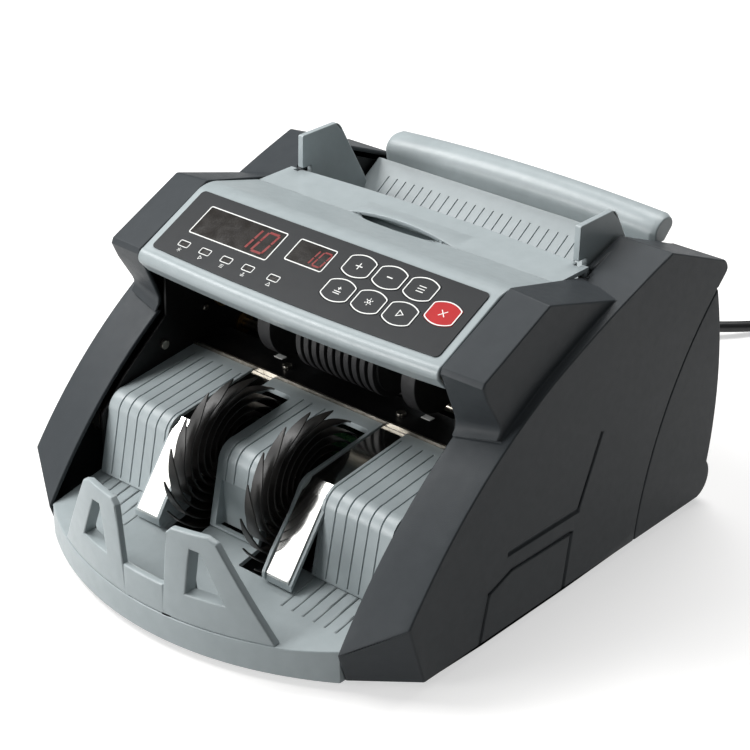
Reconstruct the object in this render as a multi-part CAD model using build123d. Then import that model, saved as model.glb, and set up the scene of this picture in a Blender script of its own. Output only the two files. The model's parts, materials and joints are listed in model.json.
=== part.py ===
"""Banknote counting machine: housing, console, hopper, note path, stacker and mains lead.

Millimetres.  +Z is up, -Y is the front (note stop), +X is the right side seen from the front.
The origin is on the resting surface, under the centre of the machine's own box.
"""
import os
from math import atan2, cos, degrees, pi, radians, sin, sqrt, tan

from build123d import *

# ---- driving dimensions -------------------------------------------------------------------------
WIDTH = 260.0                 # over the side covers
HALF = WIDTH / 2
HEIGHT = 175.0                # top of the hopper guides
FOOT = 4.0                    # height of the rubber feet
WALL = 2.5                    # housing wall
INNER_X = 101.0               # inner edge of the side covers' front faces
CHEEK_X = 125.0               # outer face of the console cheeks
FRAME_X = 98.5                # inner face of the steel side frames
FRAME_T = 1.5
RIM_R = 183.0                 # radius of the curved front rim
RIM_Y = RIM_R - 149.9         # its centre
RIM_Z = 18.9                  # top of the rim
TILT = 26.0                   # console slope, degrees
CONSOLE_FOOT = (-46.2, 144.5)  # lower edge of the keypad overlay (y, z)

KEY_W, KEY_SIDE, KEY_BULGE = 17.6, 9.3, 2.8
KEY_COLUMNS = (22.0, 41.8, 61.6, 81.6)
KEY_ROWS = (15.2, 32.2)
CLEAR_KEY_ROW = 23.7
KEY_GAP = 0.3
COUNT_WINDOW = (-82.5, -28.8, 16.7, 35.4)   # x low, x high, slope low, slope high
BATCH_WINDOW = (-19.2, 4.7, 21.6, 35.6)
LAMP_X = (-79.0, -63.8, -48.6, -33.4, -15.8)
LAMP_ROW = 8.5

STACKER = (-66.0, 54.0)       # stacker shaft axis (y, z)
FEED = (7.0, 100.5)           # feed shaft axis
PICKUP = (50.0, 86.0)         # pick-up shaft axis
PINCH = (21.2, 76.0)          # counter-pressure shaft axis
MAIN_MOTOR = (100.0, 40.0)
STACKER_MOTOR = (-18.0, 33.0)

WHEEL_R = 44.3                # stacker wheel over the vane tips
WHEEL_X = 26.4
WHEEL_W = 13.0
VANES = 16
VANE_T = 1.1
VANE_WRAP = 150.0             # degrees that one vane sweeps from hub to tip
VANE_PHASE = 82.0
HUB_R = 13.0

SLOT_X = (17.0, 36.0)         # wheel slots in the tray
SLOT_Y = (-112.0, -25.9)
PLATE_X = (38.3, 52.9)        # polished slide plates
TRAY_X = 98.2

FEED_R, FEED_HALF, RIB_PITCH, RIB_W = 20.0, 27.5, 5.5, 3.4
PICKUP_X, PICKUP_W = (-60, -22, 22, 60), 12
GUIDE_X = (91.5, 95.0)        # inner and outer face of a hopper guide, fully open
GUIDE_TRAVEL = 25.0
HOPPER_FOOT, HOPPER_HEAD = (60.0, 94.0), (131.7, 141.5)
COVER_AXIS = (61.5, 149.4)    # feed cover hinge (y, z)

CORD_D = 7.0
COIL_RADII = (44.0, 37.0, 30.0)
COIL_CENTRE = (100.0, 362.0)
INLET_X, INLET_Z = -48.0, 34.0


# ---- helpers ------------------------------------------------------------------------------------
def outline(*edges):
    """Face from a closed chain of edges given in (y, z)."""
    return make_face(Curve() + list(edges))


def polygon(*points):
    return make_face(Polyline(*points, close=True))


def along_x(face, low, high):
    """Extrude a (y, z) face from x = low to x = high."""
    return extrude(Plane.YZ.offset(low) * face, amount=high - low)


def block(x, y, z):
    """Box from (low, high) pairs."""
    size = [high - low for low, high in (x, y, z)]
    middle = [(high + low) / 2 for low, high in (x, y, z)]
    return Pos(*middle) * Box(*size)


def rod(radius, low, high, centre):
    """Cylinder along X round the (y, z) centre."""
    disc = Pos(*centre) * Circle(radius)
    return along_x(disc, low, high)


def ring(outer, inner, low, high, centre):
    return along_x(Pos(*centre) * (Circle(outer) - Circle(inner)), low, high)


def both_sides(part):
    return part + mirror(part, about=Plane.YZ)


def group(*parts):
    """Several separate solids in one node."""
    return Compound([solid for part in parts for solid in part.solids()])


def console_plane(lift=0.0):
    """Plane of the console face: local x is +X, local y runs up the slope."""
    normal = (0, -sin(radians(TILT)), cos(radians(TILT)))
    y, z = CONSOLE_FOOT
    origin = (0, y + normal[1] * lift, z + normal[2] * lift)
    return Plane(origin=origin, x_dir=(1, 0, 0), z_dir=normal)


def on_console(sketch, low, high):
    """Extrude a console sketch from one height over the face to another."""
    return extrude(console_plane(low) * sketch, amount=high - low)


def window(rect, grow=0.0):
    x0, x1, s0, s1 = rect
    size = (x1 - x0 + 2 * grow, s1 - s0 + 2 * grow)
    return Pos((x0 + x1) / 2, (s0 + s1) / 2) * Rectangle(*size)


def key_shape(column, row, grow=0.0):
    """Barrel outline: straight sides, arched top and bottom."""
    w, h = KEY_W / 2 + grow, KEY_SIDE / 2 + grow
    top = h + KEY_BULGE
    edges = [
        Line((-w, -h), (-w, h)), ThreePointArc((-w, h), (0, top), (w, h)),
        Line((w, h), (w, -h)), ThreePointArc((w, -h), (0, -top), (-w, -h)),
    ]
    return Pos(column, row) * make_face(Curve() + edges)


KEYS = {
    "key_plus": (KEY_COLUMNS[0], KEY_ROWS[1]),
    "key_minus": (KEY_COLUMNS[1], KEY_ROWS[1]),
    "key_batch": (KEY_COLUMNS[2], KEY_ROWS[1]),
    "key_add": (KEY_COLUMNS[0], KEY_ROWS[0]),
    "key_lamp": (KEY_COLUMNS[1], KEY_ROWS[0]),
    "key_start": (KEY_COLUMNS[2], KEY_ROWS[0]),
    "key_clear": (KEY_COLUMNS[3], CLEAR_KEY_ROW),
}


# ---- side covers and rear cover -----------------------------------------------------------------
REAR_TOP, REAR_NOTCH, REAR_LOW = (93.3, 161.3), (137.9, 126.4), (140.8, 23.4)


def side_outline(front_low, front_high, slope_mid, slope_top):
    """Side profile of the housing; only its front differs between the inner and outer edge."""
    return outline(
        Line(front_low, front_high),
        ThreePointArc(front_high, slope_mid, slope_top),
        ThreePointArc(slope_top, (43.0, 144.3), REAR_TOP),
        Line(REAR_TOP, (140.0, 141.8)),
        ThreePointArc((140.0, 141.8), (144.9, 138.4), (145.3, 133.6)),
        Line((145.3, 133.6), REAR_NOTCH),
        ThreePointArc(REAR_NOTCH, (145.4, 72.0), REAR_LOW),
        ThreePointArc(REAR_LOW, (143.4, 14.5), (133.2, FOOT)),
        Line((133.2, FOOT), front_low),
    )


def outer_profile():
    return side_outline((-92.9, FOOT), (-104.0, 39.0), (-51.6, 93.5), (-1.4, 125.6))


def inner_profile():
    return side_outline((-116.5, FOOT), (-121.8, 20.9), (-68.0, 82.3), (-1.4, 125.8))


def housing_side():
    """Solid right side of the housing, from the covers' inner edge to the outer face."""
    inner = Plane.YZ.offset(INNER_X) * inner_profile()
    outer = Plane.YZ.offset(HALF) * outer_profile()
    return loft([inner, outer], ruled=True)


def housing_hollow():
    """The room inside the right side cover, open towards the machine's middle."""
    inner = Plane.YZ.offset(INNER_X - 1) * offset(inner_profile(), amount=-WALL)
    outer = Plane.YZ.offset(HALF - WALL) * offset(outer_profile(), amount=-WALL)
    return loft([inner, outer], ruled=True)


def cheek(x_in, x_out, inset=0.0):
    """Console cheek: a wedge over the sloped face, with a nose that overhangs the stacker."""
    i = inset
    inner = polygon((0, 166 - 1.2 * i), (-49.5 + 1.6 * i, 143.2 - i), (-50.8 + 1.2 * i, 140.4 - i),
                    (-46.0 + i, 129.6), (-39.5 + i, 113.7), (-38.7 + i, 110.9), (-39.2 + i, 107.6),
                    (-41.6 + i, 104.1), (-20, 99), (60, 138), (57.4, 151.6 - i))
    outer = polygon((0.3, 164.2 - 1.2 * i), (-46.9 + 1.6 * i, 142.1 - i), (-48.4 + 1.2 * i, 139.2 - i),
                    (-44.5 + i, 130.6), (-35.2 + i, 115.4), (-34.2 + i, 113.2), (-34.5 + i, 110.7),
                    (-36.6 + i, 107.9), (-20, 99), (60, 138), (56.0, 147.6 - i))
    return loft([Plane.YZ.offset(x_in) * inner, Plane.YZ.offset(x_out) * outer], ruled=True)


def rear_zone(gap=0.0):
    """Everything behind the side parting line, pushed forwards by gap."""
    face = outline(
        Line((75.0 - gap, 0), (75.0 - gap, FOOT)),
        ThreePointArc((75.0 - gap, FOOT), (97.6 - gap, 73.5), (REAR_NOTCH[0] - gap, REAR_NOTCH[1])),
        Line((REAR_NOTCH[0] - gap, REAR_NOTCH[1]), (160, REAR_NOTCH[1])),
        Line((160, REAR_NOTCH[1]), (160, 0)),
        Line((160, 0), (75.0 - gap, 0)),
    )
    return along_x(face, -HALF - 1, HALF + 1)


def groove(start, end, width, depth):
    """Straight groove in the right outer face between two (y, z) points."""
    dy, dz = end[0] - start[0], end[1] - start[1]
    length = sqrt(dy * dy + dz * dz) + width
    middle = ((start[0] + end[0]) / 2, (start[1] + end[1]) / 2)
    bar = Pos(*middle) * Rot(0, 0, degrees(atan2(dz, dy))) * Rectangle(length, width)
    return along_x(bar, HALF - depth, HALF + 1)


def side_grooves():
    """Styling grooves: a bent line, a short line under it and the faint panel step."""
    bend = ((40.5, 82.0), (23.5, 45.5), (-31.0, 46.1))
    deep = groove(bend[0], bend[1], 1.5, 1.0) + groove(bend[1], bend[2], 2.2, 1.2)
    deep += groove((18.8, 34.0), (13.8, 5.5), 1.5, 1.0)
    faint = ((18.8, 34.5), (-29.0, 35.6), (-45.8, 30.0), (-52.2, 5.0))
    for start, end in zip(faint, faint[1:]):
        deep += groove(start, end, 0.7, 0.5)
    return deep


def right_side_cover():
    shell = housing_side() + cheek(INNER_X, CHEEK_X)
    upper = along_x(outer_profile(), 97.3, INNER_X)
    shell += upper & block((90, 110), (52, 160), (REAR_NOTCH[1], 170))
    hollow = housing_hollow() + cheek(INNER_X - 1, CHEEK_X - WALL, inset=WALL)
    hollow += along_x(offset(outer_profile(), amount=-WALL), 90, INNER_X)
    hollow += along_x(polygon((-3, 60), (-3, 159), (40, 146), (60, 143), (60, 60)), 90, CHEEK_X - WALL)
    cover = shell - hollow - rear_zone(gap=0.4)
    cover -= block((90, 131), (137.4, 150), (100, REAR_NOTCH[1] + 0.4))
    cover -= block((90, HALF - WALL), (-85.5, 130), (0, 8))
    cover -= block((90, INNER_X + 0.2), (59.6, 64.2), (146, 158)) + rod(1.0, 90, 103.3, COVER_AXIS)
    cover -= block((90, INNER_X + 0.2), (64.2, 67.6), (148.8, 158))
    return keep_largest(cover - side_grooves())


def keep_largest(part):
    return max(part.solids(), key=lambda solid: solid.volume)


def rear_cover():
    side = housing_side()
    middle = along_x(inner_profile(), -INNER_X, INNER_X)
    body = middle + side + mirror(side, about=Plane.YZ)
    hollow = along_x(offset(outer_profile(), amount=-WALL), -HALF + WALL, HALF - WALL)
    hollow += block((-HALF + WALL, HALF - WALL), (60, 130), (0, 8))
    cover = (body - hollow) & rear_zone()
    cover += block((-97, 97), (137.9, 140.4), (124, 139.5))
    cover -= inlet_hole() + knob_hole() + vents()
    cover -= block(MODULE_X, (142.8, 150), (INLET_Z - 13.0, INLET_Z + 13.0))
    return keep_largest(cover)


def vents():
    """Row of cooling slots in the back."""
    slots = [block((x - 1.3, x + 1.3), (130, 150), (66, 96)) for x in range(-70, 71, 7)]
    return Part() + slots


# ---- base and stacker ---------------------------------------------------------------------------
def base_plate():
    return block((-127.2, 127.2), (-85.2, 128), (FOOT, FOOT + 1.5))


def rubber_feet():
    feet = [Pos(x, y, 0) * extrude(Circle(8), amount=FOOT) for x in (-108, 108) for y in (-68, 118)]
    return group(*feet)


def rim_plan(shrink=0.0):
    """Plan of the front base: straight sides and back, curved front."""
    r, half = RIM_R - shrink, INNER_X - 0.2 - shrink
    side_y = RIM_Y - sqrt(r * r - half * half)
    back = -86.0
    edges = [
        Line((-half, back), (-half, side_y)),
        ThreePointArc((-half, side_y), (0, RIM_Y - r), (half, side_y)),
        Line((half, side_y), (half, back)), Line((half, back), (-half, back)),
    ]
    return make_face(Curve() + edges)


def floor_profile(drop=0.0):
    z = -drop
    return polygon((-85, 0), (-85, 28.6 + z), (-132, RIM_Z + 0.8 + z), (-151, RIM_Z + z), (-151, 0))


def front_base():
    solid = extrude(Pos(0, 0, FOOT) * rim_plan(), amount=40) & along_x(floor_profile(), -120, 120)
    hollow = extrude(Pos(0, 0, -1) * rim_plan(WALL), amount=45) & along_x(floor_profile(WALL), -120, 120)
    slots = block(SLOT_X, (-101.5, -80), (0, 60))
    back = block((-INNER_X + 3, INNER_X - 3), (-88.5, -80), (0, 24))
    base = solid - hollow - slots - mirror(slots, about=Plane.YZ) - back
    for x in groove_places():
        if abs(x) > SLOT_X[1]:
            base -= floor_groove(x)
    return keep_largest(base)


def floor_groove(x):
    """Run-out of one tray groove on the sloping floor."""
    skin = along_x(floor_profile(), x - 0.35, x + 0.35) - along_x(floor_profile(0.5), x - 1, x + 1)
    return skin & block((-110, 110), (-111, -87.5), (15, 40))


def tray_profile(shrink=0.0):
    """Top, rounded crest and front wall of the stacker tray."""
    t = shrink
    return outline(
        Line((-17.7, 70 + t), (-17.7, 77.8 - t)),
        Line((-17.7, 77.8 - t), (-69.0, 72.0 - t)),
        ThreePointArc((-69.0, 72.0 - t), (-76.8 + 0.7 * t, 69.0 - 0.7 * t), (-80.2 + t, 62.0)),
        Line((-80.2 + t, 62.0), (-87.8 + t, 28.8)),
        Line((-87.8 + t, 28.8), (-85.0 + t, 28.8)),
        Line((-85.0 + t, 28.8), (-17.7, 70 + t)),
    )


def tray_shell(low, high):
    """One stretch of the tray: a 2.5 mm skin with a stiffening web under it."""
    full = along_x(tray_profile(), low, high)
    inside = outline(
        Line((-10, 60), (-10, 78.0 - WALL)),
        Line((-10, 78.0 - WALL), (-69.0, 72.0 - WALL)),
        ThreePointArc((-69.0, 72.0 - WALL), (-75.0, 67.2), (-77.7, 62.0)),
        Line((-77.7, 62.0), (-85.4, 28.0)),
        Line((-85.4, 28.0), (-60, 20)),
        Line((-60, 20), (-10, 60)),
    )
    return full - along_x(inside, low - 1, high + 1)


def chute_profile(lift, thick):
    """Sloping slide between the tray sections: lift is its height over the tray's own line."""
    top = [(-17.9, 77.0), (-70.5, 70.9), (-77.5, 66.6), (-103.6, 31.5)]
    steep = (1.0, 1.0, 1.4, 1.7)
    upper = [(y, z + lift * k) for (y, z), k in zip(top, steep)]
    lower = [(y, z - thick * k) for (y, z), k in zip(upper, steep)]
    return polygon(*upper, *reversed(lower))


def fin_profile():
    return polygon((-30, 75.9), (-69, 71.9), (-77.4, 68.2), (-84.8, 57.0), (-98.5, 40.5), (-104.5, 31.5),
                   (-104.5, 27.8), (-83.0, 29.5), (-76.0, 61.0), (-68, 69.2), (-30, 73.0))


def groove_line(x, low_cut=0.6):
    """Fine groove over the top, crest and front wall of the tray at one x."""
    width = 0.7
    skin = along_x(tray_profile(), x - width / 2, x + width / 2)
    core = along_x(Pos(low_cut, -low_cut) * tray_profile(), x - 1, x + 1)
    return (skin - core) & block((-110, 110), (-95, -24), (30, 80))


def groove_places():
    side = [55.4 + 7.0 * n for n in range(6)]
    return side + [-x for x in side] + [-10.5, -4.5, 4.5]


def stacker_tray():
    tray = tray_shell(PLATE_X[1] + 0.3, TRAY_X) + tray_shell(-TRAY_X, -PLATE_X[1] - 0.3)
    tray += tray_shell(-PLATE_X[0] + 0.3, PLATE_X[0] - 0.3)
    chute = along_x(chute_profile(-0.9, 2.0), PLATE_X[0] - 2, PLATE_X[1] + 2)
    fin = along_x(fin_profile(), SLOT_X[1], PLATE_X[0] - 0.3)
    end = along_x(polygon((-20, 60), (-20, 75), (-69, 70), (-78, 62), (-86.5, 29), (-60, 29)),
                  PLATE_X[1] + 0.3, PLATE_X[1] + 2.3)
    tray += both_sides(chute + fin + end)
    front, back = SLOT_Y
    plan = RectangleRounded(SLOT_X[1] - SLOT_X[0], back - front, 2.8)
    slot = Pos(sum(SLOT_X) / 2, (front + back) / 2, 20) * extrude(plan, amount=70)
    tray -= both_sides(slot)
    tray -= rod(5.5, -100, 100, STACKER)
    tray = tray - block((-13, 13), (-95, -81.2), (30.0, 54)) + recess_walls()
    tray -= block((4.5, 8.0), (-84, -78), (42.0, 46.5))
    for x in groove_places():
        tray -= groove_line(x)
    return keep_largest(tray)


def recess_walls():
    """Upright back and cheeks of the pocket in the middle of the tray's front wall."""
    back = block((-15, 15), (-81.2, -79.4), (28.8, 57))
    side = along_x(polygon((-87.6, 28.8), (-81.4, 54.6), (-79.4, 54.6), (-79.4, 28.8)), 13, 15)
    return back + both_sides(side)


def slide_plates():
    """Polished steel slides on the outer side of each wheel slot."""
    places = (PLATE_X, (-PLATE_X[1], -PLATE_X[0]))
    return group(*[along_x(chute_profile(0.0, 0.8), low, high) for low, high in places])


def upright():
    """Right upright of the note stop, in (x, z): inner edge leans outwards, outer edge is long."""
    return make_face(Polyline((12.2, RIM_Z - 2), (17.3, 66.5), (20.5, 69.8), (40.0, 70.9), (45.6, 68.4),
                              (75.0, RIM_Z - 2), close=True))


def note_stop():
    """Two A-shaped uprights joined by a low bridge, following the rim's curve."""
    opening = make_face(Polyline((27.4, 35.6), (31.0, 61.4), (37.0, 61.0), (48.8, 36.0), close=True))
    face = upright() - opening
    frame = offset(opening, amount=2.0) - opening
    bridge = make_face(Polyline((-14, RIM_Z - 2), (-14, 35.8), (14, 35.8), (14, RIM_Z - 2), close=True))
    sheet = extrude(Plane.XZ.offset(160) * (face + bridge), amount=-40)
    sheet += extrude(Plane.XZ.offset(160) * mirror(face, about=Plane.YZ), amount=-40)
    shell = Pos(0, RIM_Y, 0) * extrude(Circle(RIM_R - 0.3) - Circle(RIM_R - 4.3), amount=90)
    frames = extrude(Plane.XZ.offset(160) * frame, amount=-40)
    frames += extrude(Plane.XZ.offset(160) * mirror(frame, about=Plane.YZ), amount=-40)
    deep = Pos(0, RIM_Y, 0) * extrude(Circle(RIM_R - 3.0) - Circle(RIM_R - 8.0), amount=90)
    body = (shell & sheet) + (deep & frames)
    seat = extrude(Pos(0, 0, 0) * rim_plan(), amount=60) & along_x(floor_profile(-0.02), -120, 120)
    return keep_largest(body - seat)


# ---- frames and note path -----------------------------------------------------------------------
SHAFTS = {"stacker": (STACKER, 4.0), "feed": (FEED, 5.0), "pickup": (PICKUP, 4.0), "pinch": (PINCH, 3.0)}
BUSH_WALL = 3.5
RUN_FIT = 0.05


def side_frame(sign):
    """Steel side plate that carries every bearing."""
    low, high = sorted((sign * FRAME_X, sign * (FRAME_X + FRAME_T)))
    face = polygon((-84, 6), (-84, 29), (-100, 45), (-66, 78), (-36, 101), (-35, 131), (-43, 139), (0, 159),
                   (34, 150), (52, 141), (93, 156), (132, 139), (132, 8), (128, 6))
    plate = along_x(face, low, high)
    for centre, radius in SHAFTS.values():
        plate -= rod(radius + BUSH_WALL, low - 1, high + 1, centre)
    motor = MAIN_MOTOR if sign > 0 else STACKER_MOTOR
    plate -= rod(8.0, low - 1, high + 1, motor)
    return plate & block((-120, 120), (-84, 140), (5.5, 170)) - along_x(
        polygon((-90, 0), (-90, 30), (-80, 30), (-80, 0)), -120, 120)


def bearings():
    rings = []
    for sign in (-1, 1):
        for centre, radius in SHAFTS.values():
            low, high = sorted((sign * 97.6, sign * 101.4))
            rings.append(ring(radius + BUSH_WALL, radius + RUN_FIT, low, high, centre))
    return group(*rings)


def path_plate():
    """Black lower guide sheet under the feed roller, with two sensor windows."""
    face = polygon((-16.2, 77.2), (-16.2, 78.4), (-2, 78.4), (10, 77.4), (11.6, 76.2), (11.6, 62),
                   (10.4, 62),
                   (10.4, 75.6), (9.4, 76.2), (-2, 77.2))
    plate = along_x(face, -TRAY_X, TRAY_X)
    for x in (-51.2, 51.2):
        plate -= block((x - 3, x + 3), (-1, 3), (70, 85))
    return plate


def sensor_windows():
    return group(*[block((x - 2.9, x + 2.9), (-0.9, 2.9), (76.9, 78.6)) for x in (-51.2, 51.2)])


def path_edge():
    """Bright steel strip along the back of the tray."""
    return block((-TRAY_X, TRAY_X), (-17.6, -16.3), (77.0, 79.6))


def tie_rods():
    places = ((-36, 13), (70, 66), (118, 100), (8, 140))
    return group(*[rod(3.0, -FRAME_X, FRAME_X, place) for place in places])


def screws_and_pins():
    """Screw heads in the stacker, path plate and back cover, and the feed cover's two hinge pins."""
    heads = [rod(2.6, 96.6, FRAME_X, (-39.0, 85.3)), rod(2.6, -FRAME_X, -96.6, (-39.0, 85.3)),
             rod(1.8, 97.0, FRAME_X, (-8.0, 96.0)), rod(1.8, -FRAME_X, -97.0, (-8.0, 96.0))]
    for x in (-39.6, 39.6):
        heads.append(Pos(x, -6.0, 78.4) * extrude(Circle(2.6), amount=1.8))
    for x in (-112, 112):
        for z in (40, 104):
            heads.append(Pos(x, 140.0, z) * Rot(-90, 0, 0) * extrude(Circle(2.8), amount=5.4))
    heads += [rod(1.0, low, high, COVER_AXIS) for low, high in ((96.6, 103.2), (-103.2, -96.6))]
    return group(*heads)


def shaft(name, low, high, *pulleys):
    """Steel shaft, with its belt pulleys pressed on as separate solids."""
    centre, radius = SHAFTS[name]
    return group(rod(radius, low, high, centre), *pulleys)


def vane_point(radius, angle):
    return (radius * cos(radians(angle)), radius * sin(radians(angle)))


def vane(tip_angle):
    """One curved vane in (y, z), swept back from the hub to its tip."""
    reach = WHEEL_R - HUB_R + 2
    steps = (0.0, 0.3, 0.6, 0.85, 1.0)
    radii = [HUB_R - 2 + reach * t for t in steps]
    angles = [tip_angle + VANE_WRAP * (1 - t) for t in steps]
    outer = [vane_point(r, a) for r, a in zip(radii, angles)]
    inner = [vane_point(r - VANE_T * (1 - 0.7 * t), a) for r, a, t in zip(radii, angles, steps)]
    return outline(Spline(*outer), Line(outer[-1], inner[-1]), Spline(*reversed(inner)),
                   Line(inner[0], outer[0]))


def stacker_wheel(x):
    low, high = x - WHEEL_W / 2, x + WHEEL_W / 2
    wheel = along_x(Circle(HUB_R), low, high)
    for n in range(VANES):
        wheel += along_x(vane(VANE_PHASE + 360 / VANES * n), low, high)
    wheel -= along_x(Circle(SHAFTS["stacker"][1]), low - 1, high + 1)
    return Pos(0, *STACKER) * keep_largest(wheel)


def feed_roller():
    """Ribbed rubber feed roller."""
    roller = ring(FEED_R - 3, SHAFTS["feed"][1], -FEED_HALF, FEED_HALF, FEED)
    count = int(2 * FEED_HALF / RIB_PITCH)
    for n in range(count):
        middle = (n - (count - 1) / 2) * RIB_PITCH
        roller += ring(FEED_R, FEED_R - 4, middle - RIB_W / 2, middle + RIB_W / 2, FEED)
    return roller


def side_rollers(name, outer, places, width):
    centre, radius = SHAFTS[name]
    return group(*[ring(outer, radius, x - width / 2, x + width / 2, centre) for x in places])


def pulley(name, outer, low, high):
    centre, radius = SHAFTS[name]
    flange = 1.0
    part = ring(outer, radius, low, high, centre)
    part += ring(outer + 2.5, radius, low, low + flange, centre)
    return part + ring(outer + 2.5, radius, high - flange, high, centre)


def belt(low, high, first, first_r, second, second_r):
    """Open belt loop round two pulleys, clear of both."""
    clear, thick = 0.3, 1.2
    loops = []
    for extra in (clear + thick, clear):
        discs = [Pos(*first) * Circle(first_r + extra), Pos(*second) * Circle(second_r + extra)]
        loops.append(make_hull([edge for disc in discs for edge in disc.edges()]))
    return along_x(loops[0] - loops[1], low, high)


def motor(centre, radius, low, high, shaft_end, pulley_r):
    """Motor can, and its shaft with a pulley, as two parts."""
    can = rod(radius, low, high, centre) - rod(6.0, low - 1, high + 1, centre)
    can += ring(6.0, 3.0 + RUN_FIT, low, high, centre)
    side = 1 if shaft_end > 0 else -1
    ends = sorted((shaft_end, side * (abs(shaft_end) - 9)))
    rotor = rod(3.0, *sorted((shaft_end, side * (min(abs(low), abs(high)) + 2))), centre)
    rotor += rod(pulley_r, *ends, centre)
    return can, rotor


# ---- console ------------------------------------------------------------------------------------
def console_outline(t=0.0):
    """Console section: seam, crest, sloping face and rounded nose; t insets it."""
    low, up = CONSOLE_FOOT, (-7.0, 163.6)
    return outline(
        Line((37.3, 155.5 - t), (8.0, 163.6 - t)),
        ThreePointArc((8.0, 163.6 - t), (0.4, 164.9 - t), (-7.0 + 0.2 * t, up[1] - t)),
        Line((-7.0 + 0.2 * t, up[1] - t), (low[0] - 1.5 + 0.6 * t, low[1] - 0.75 - t)),
        ThreePointArc((low[0] - 1.5 + 0.6 * t, low[1] - 0.75 - t), (-51.6 + t, 140.0 - 0.3 * t),
                      (-51.2 + t, 136.6)),
        Line((-51.2 + t, 136.6), (-45.4 + t, 129.9)),
        Line((-45.4 + t, 129.9), (-30, 129.9)),
        Line((-30, 129.9), (-30, 120)),
        Line((-30, 120), (37.3, 120)),
        Line((37.3, 120), (37.3, 155.5 - t)),
    )


def console_panel():
    half = INNER_X - 0.3
    body = along_x(console_outline(), -half, half)
    body -= along_x(console_outline(WALL), -half - 1, half + 1)
    body -= block((-120, 120), (-44.9, 60), (100, 131.5)) - block((-120, 120), (-60, -44.0), (100, 140))
    body -= along_x(polygon((-43.0, 100), (-43.0, 142.0), (-5, 159.6), (36.4, 151.5), (40, 100)), -120, 120)
    body -= on_console(window(COUNT_WINDOW, 0.2) + window(BATCH_WINDOW, 0.2), -5, 5)
    for column, row in KEYS.values():
        body -= on_console(key_shape(column, row, KEY_GAP), -5, 5)
    for x in LAMP_X:
        body -= on_console(Pos(x, LAMP_ROW) * Rectangle(5.2, 2.8), -5, 5)
    eye = Pos(0, 37.6) * scale(Circle(1), by=(27.0, 6.5, 1))
    body -= extrude(Pos(0, 0, 145) * eye, amount=30)
    return keep_largest(body + finger_dish())


def finger_dish():
    """Dished floor of the finger recess, fixed under the console's rear edge."""
    dish = Pos(0, 37.0) * scale(Circle(1), by=(29.0, 8.0, 1))
    cut = Pos(0, 37.0) * scale(Circle(1), by=(25.0, 5.0, 1))
    wall = extrude(Pos(0, 0, 149.0) * dish, amount=7.0) - extrude(Pos(0, 0, 150.4) * cut, amount=9.0)
    return wall & (block((-40, 40), (20, 37.2), (140, 155.6)) + block((-40, 40), (37.2, 46), (140, 150.9)))


def overlay_shape():
    low = 0.3
    edges = [
        Line((-96.0, 43.4), (96.0, 43.4)), Line((96.0, 43.4), (96.0, low)),
        ThreePointArc((96.0, low), (0, low - 2.2), (-96.0, low)), Line((-96.0, low), (-96.0, 43.4)),
    ]
    face = make_face(Curve() + edges)
    return fillet(face.vertices(), 2.6)


def keypad_overlay():
    sheet = overlay_shape() - window(COUNT_WINDOW) - window(BATCH_WINDOW)
    for column, row in KEYS.values():
        sheet -= key_shape(column, row, KEY_GAP)
    for x in LAMP_X:
        sheet -= Pos(x, LAMP_ROW) * Rectangle(4.6, 2.2)
    return on_console(sheet, 0.05, 0.6)


def display_lenses():
    return group(*[on_console(window(rect, -0.05), -0.2, 0.55) for rect in (COUNT_WINDOW, BATCH_WINDOW)])


def indicator_lamps():
    return group(*[on_console(Pos(x, LAMP_ROW) * Rectangle(4.4, 2.0), -6.6, 0.45) for x in LAMP_X])


def display_board():
    """Circuit board under the console with its key switches and two digit modules."""
    board = on_console(Pos(0, 21) * Rectangle(186, 33), -8.2, -6.6)
    for column, row in KEYS.values():
        board += on_console(Pos(column, row) * Rectangle(6, 6), -6.7, -2.6)
    for rect in (COUNT_WINDOW, BATCH_WINDOW):
        board += on_console(window(rect, -0.4), -6.7, -0.9)
    return board


def key(column, row):
    cap = on_console(key_shape(column, row), -0.6, 0.75)
    return cap + on_console(Pos(column, row) * Circle(1.8), -1.9, -0.5)


# ---- hopper -------------------------------------------------------------------------------------
def hopper_z(y):
    slope = (HOPPER_HEAD[1] - HOPPER_FOOT[1]) / (HOPPER_HEAD[0] - HOPPER_FOOT[0])
    return HOPPER_FOOT[1] + (y - HOPPER_FOOT[0]) * slope


def hopper_plate():
    y0, y1 = HOPPER_FOOT[0], HOPPER_HEAD[0]
    skin = polygon((y0, hopper_z(y0)), (y1, hopper_z(y1)), (y1, hopper_z(y1) - 2.5),
                   (y0, hopper_z(y0) - 2.5))
    plate = along_x(skin, -96.6, 96.6)
    for n in range(27):
        x = (n - 13) * 6.3
        cut = polygon((62, hopper_z(62) - 0.7), (123.5, hopper_z(123.5) - 0.7), (123.5, 160), (62, 160))
        plate -= along_x(cut, x - 0.4, x + 0.4)
    slot = block((GUIDE_X[0] - GUIDE_TRAVEL - 1.5, GUIDE_X[1] + 1.0), (97.5, 104.5), (90, 140))
    for x in PICKUP_X:
        plate -= block((x - PICKUP_W / 2 - 1, x + PICKUP_W / 2 + 1), (55, 66.5), (80, 110))
    return plate - both_sides(slot)


def hopper_front_wall():
    """Black wall that closes the front of the hopper, over the note gap."""
    sheet = block((-FRAME_X, FRAME_X), (30.2, 31.4), (112, 151))
    sheet += block((-FRAME_X, FRAME_X), (31.4, 34.0), (146, 147.5))
    return sheet - block((-31, 31), (25, 40), (148.8, 160))


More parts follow.
